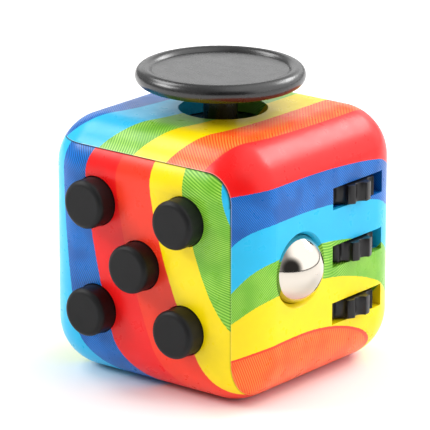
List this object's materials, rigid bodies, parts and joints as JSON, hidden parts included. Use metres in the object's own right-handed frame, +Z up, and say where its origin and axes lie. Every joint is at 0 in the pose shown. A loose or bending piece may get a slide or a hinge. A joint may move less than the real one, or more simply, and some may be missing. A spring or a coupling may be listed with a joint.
{
  "type": "fidget cube",
  "caption": "Palm-sized fidget cube with push buttons, a press-in ball, thumb gears, a sliding joystick, a rocker, a dial and a thumb dish.",
  "frame": {"origin": "centre of the box round the whole cube, on the surface it stands on", "axes": "+Z up, out of the glide (joystick) face; -Y out of the click (button) face; +X out of the roll (ball and gears) face"},
  "size_m": [0.038, 0.0382, 0.0385],
  "materials": {
    "printed_shell": "glossy film print of coloured flames over moulded plastic",
    "button_plastic": "fine matte moulding",
    "black_plastic": "satin moulding",
    "inner_plastic": "plain moulding",
    "grey_plastic": "plain moulding",
    "white_plastic": "smooth acetal",
    "rubber": "soft",
    "chrome": "polished",
    "steel": "plain steel",
    "spring_steel": "drawn wire and sheet"
  },
  "bodies": {
    "cube": {"click_shell": "printed_shell", "glide_shell": "printed_shell", "click_plate": "inner_plastic", "glide_cover": "inner_plastic", "roll_bracket": "inner_plastic", "rocker_cradle": "inner_plastic", "plate_screws": "steel", "spring_upper_left": "spring_steel", "spring_upper_right": "spring_steel", "spring_centre": "spring_steel", "spring_lower_left": "spring_steel", "spring_lower_right": "spring_steel", "centring_ring": "rubber", "ball_spring": "spring_steel", "gear_shaft": "steel", "gear_spring_lower": "spring_steel", "gear_spring_middle": "spring_steel", "gear_spring_upper": "spring_steel", "rocker_pin": "steel", "rocker_spring": "spring_steel", "dial_washer": "steel", "dial_spring": "spring_steel"},
    "button_upper_left": {"button_upper_left": "button_plastic"},
    "button_upper_right": {"button_upper_right": "button_plastic"},
    "button_centre": {"button_centre": "button_plastic"},
    "button_lower_left": {"button_lower_left": "button_plastic"},
    "button_lower_right": {"button_lower_right": "button_plastic"},
    "glide_carriage": {"glide_carriage": "grey_plastic"},
    "joystick": {"glide_disc": "button_plastic", "glide_slider": "black_plastic"},
    "ball_cup": {"ball_cup": "white_plastic"},
    "ball": {"roll_ball": "chrome"},
    "gear_lower": {"gear_lower": "black_plastic"},
    "gear_middle": {"gear_middle": "black_plastic"},
    "gear_upper": {"gear_upper": "black_plastic"},
    "rocker": {"flip_rocker": "button_plastic"},
    "dial": {"spin_dial": "button_plastic", "dial_hub": "grey_plastic", "dial_screw": "steel"}
  },
  "joints": [
    {"name": "button_upper_left_press", "type": "slide", "parent": "cube", "child": "button_upper_left", "axis": [0, 1, 0], "range_m": [0, 0.0013], "stiffness_N_per_m": 400, "springref_m": -0.0008, "deforming": ["spring_upper_left"]},
    {"name": "button_upper_right_press", "type": "slide", "parent": "cube", "child": "button_upper_right", "axis": [0, 1, 0], "range_m": [0, 0.0013], "stiffness_N_per_m": 400, "springref_m": -0.0008, "deforming": ["spring_upper_right"]},
    {"name": "button_centre_press", "type": "slide", "parent": "cube", "child": "button_centre", "axis": [0, 1, 0], "range_m": [0, 0.0013], "stiffness_N_per_m": 400, "springref_m": -0.0008, "deforming": ["spring_centre"]},
    {"name": "button_lower_left_press", "type": "slide", "parent": "cube", "child": "button_lower_left", "axis": [0, 1, 0], "range_m": [0, 0.0013], "stiffness_N_per_m": 400, "springref_m": -0.0008, "deforming": ["spring_lower_left"]},
    {"name": "button_lower_right_press", "type": "slide", "parent": "cube", "child": "button_lower_right", "axis": [0, 1, 0], "range_m": [0, 0.0013], "stiffness_N_per_m": 400, "springref_m": -0.0008, "deforming": ["spring_lower_right"]},
    {"name": "glide_across", "type": "slide", "parent": "cube", "child": "glide_carriage", "axis": [1, 0, 0], "range_m": [-0.00203, 0.00257], "stiffness_N_per_m": 150, "deforming": ["centring_ring"]},
    {"name": "glide_along", "type": "slide", "parent": "glide_carriage", "child": "joystick", "axis": [0, 1, 0], "range_m": [-0.00209, 0.00251], "stiffness_N_per_m": 150, "deforming": ["centring_ring"]},
    {"name": "ball_press", "type": "slide", "parent": "cube", "child": "ball_cup", "axis": [-1, 0, 0], "range_m": [0, 0.0008], "stiffness_N_per_m": 1200, "springref_m": -0.0006, "deforming": ["ball_spring"]},
    {"name": "ball_roll", "type": "hinge", "parent": "ball_cup", "child": "ball", "pos_m": [0.0145, -0.00555, 0.0165], "axis": [0, 0, 1], "continuous": true},
    {"name": "gear_lower_spin", "type": "hinge", "parent": "cube", "child": "gear_lower", "pos_m": [0.0133, 0.00607, 0.00907], "axis": [0, 0, 1], "continuous": true, "deforming": ["gear_spring_lower"]},
    {"name": "gear_middle_spin", "type": "hinge", "parent": "cube", "child": "gear_middle", "pos_m": [0.0133, 0.00607, 0.0165], "axis": [0, 0, 1], "continuous": true, "deforming": ["gear_spring_middle"]},
    {"name": "gear_upper_spin", "type": "hinge", "parent": "cube", "child": "gear_upper", "pos_m": [0.0133, 0.00607, 0.02393], "axis": [0, 0, 1], "continuous": true, "deforming": ["gear_spring_upper"]},
    {"name": "rocker_flip", "type": "hinge", "parent": "cube", "child": "rocker", "pos_m": [0, 0.0136, 0.0165], "axis": [1, 0, 0], "range_deg": [0, 24], "deforming": ["rocker_spring"]},
    {"name": "dial_spin", "type": "hinge", "parent": "cube", "child": "dial", "pos_m": [-0.0165, 0, 0.0165], "axis": [-1, 0, 0], "continuous": true, "deforming": ["dial_spring"]}
  ]
}
